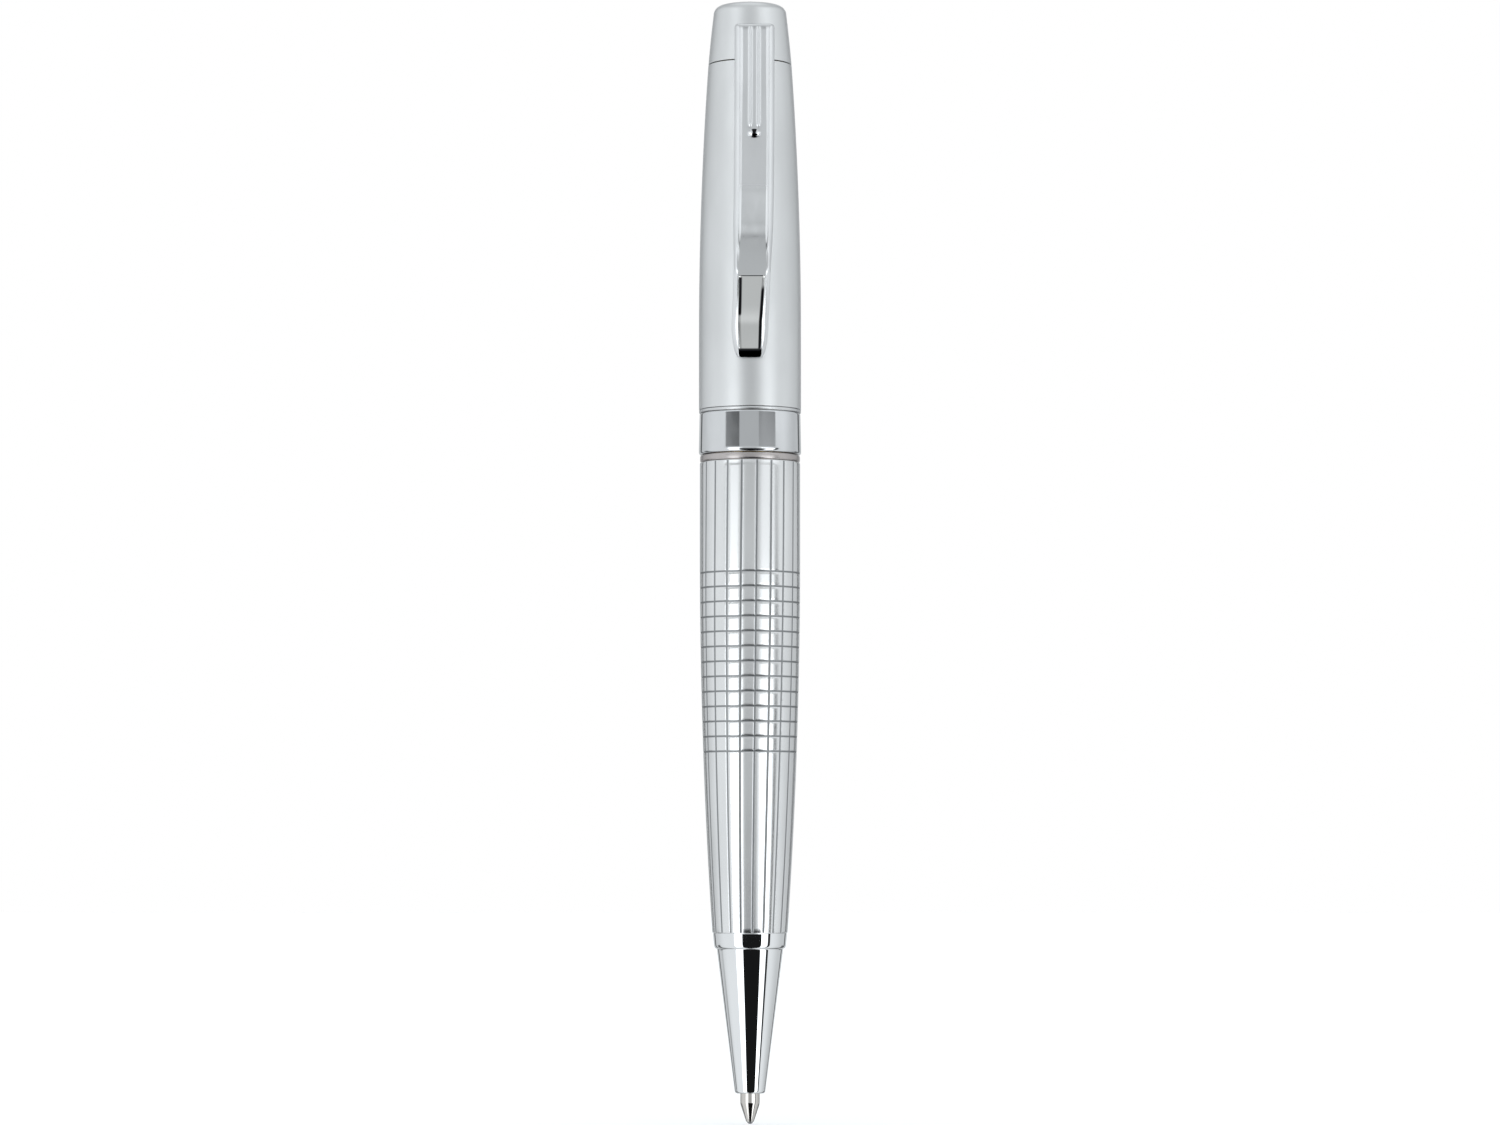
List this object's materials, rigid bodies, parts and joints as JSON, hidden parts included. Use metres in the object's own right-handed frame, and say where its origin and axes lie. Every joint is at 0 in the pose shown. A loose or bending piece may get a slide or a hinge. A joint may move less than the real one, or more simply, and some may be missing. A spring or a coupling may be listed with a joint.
{
  "type": "twist ballpoint pen",
  "caption": "Slim twist-action metal ballpoint pen: satin upper barrel with a spring pocket clip, polished band, line-engraved lower barrel and chrome nose cone.",
  "frame": {"origin": "the writing point, on the pen's axis, with the refill fully out", "axes": "+Z along the pen's axis from the writing point to the end cap; the pocket clip faces -Y; +X to the right of someone who faces the clip"},
  "size_m": [0.0126, 0.0139, 0.1382],
  "materials": {
    "satin_silver": "satin silver lacquer over brass",
    "clip_silver": "satin silver plating, bright inside the scoop",
    "bright_chrome": "mirror chrome plating",
    "band_chrome": "polished, slightly dark plating",
    "engraved_chrome": "polished plating with matte engraved lines",
    "nickel_silver": "turned nickel silver",
    "brass": "turned brass",
    "spring_steel": "drawn spring steel",
    "refill_steel": "drawn steel tube",
    "carbide": "lapped carbide",
    "cam_plastic": "moulded acetal",
    "plug_plastic": "moulded plastic",
    "ring_rubber": "moulded nitrile rubber",
    "ink": "thick ballpoint ink paste"
  },
  "bodies": {
    "upper_half": {"end_cap": "satin_silver", "cap_screw": "spring_steel", "top_bush": "brass", "clip_pivot_pin": "spring_steel", "clip_spring": "spring_steel", "upper_barrel": "satin_silver", "centre_band": "band_chrome", "trim_ring": "bright_chrome", "band_bush": "brass", "cam_sleeve": "cam_plastic", "cam_holder": "brass", "drive_plug": "cam_plastic"},
    "pocket_clip": {"clip": "clip_silver", "clip_stud": "bright_chrome"},
    "lower_half": {"mechanism_casing": "brass", "friction_ring": "ring_rubber", "retaining_ring": "spring_steel", "joint_collar": "nickel_silver", "lower_barrel": "engraved_chrome", "rear_bush": "brass", "front_bush": "brass", "nose_cone": "bright_chrome", "return_spring": "spring_steel"},
    "refill": {"follower": "cam_plastic", "follower_pin": "spring_steel", "refill_tube": "refill_steel", "refill_neck": "brass", "refill_tip": "nickel_silver", "ink_column": "ink", "refill_end_plug": "plug_plastic"},
    "ball": {"writing_ball": "carbide"}
  },
  "joints": [
    {"name": "twist", "type": "hinge", "parent": "upper_half", "child": "lower_half", "pos_m": [0, 0, 0.0822], "axis": [0, 0, 1], "range_deg": [-180, 0]},
    {"name": "refill_feed", "type": "slide", "parent": "lower_half", "child": "refill", "axis": [0, 0, 1], "range_m": [0, 0.0055], "deforming": ["return_spring"]},
    {"name": "clip_lift", "type": "hinge", "parent": "upper_half", "child": "pocket_clip", "pos_m": [0.0005, -0.00335, 0.134], "axis": [-1, 0, 0], "range_deg": [0, 4], "stiffness_Nm_per_rad": 1.5, "springref_deg": -2.86},
    {"name": "ball_roll", "type": "hinge", "parent": "refill", "child": "ball", "pos_m": [0, 0, 0.0004], "axis": [1, 0, 0], "continuous": true}
  ],
  "couplings": [
    {"joint": "refill_feed", "follows": "twist", "m_per_rad": -0.0017507}
  ]
}
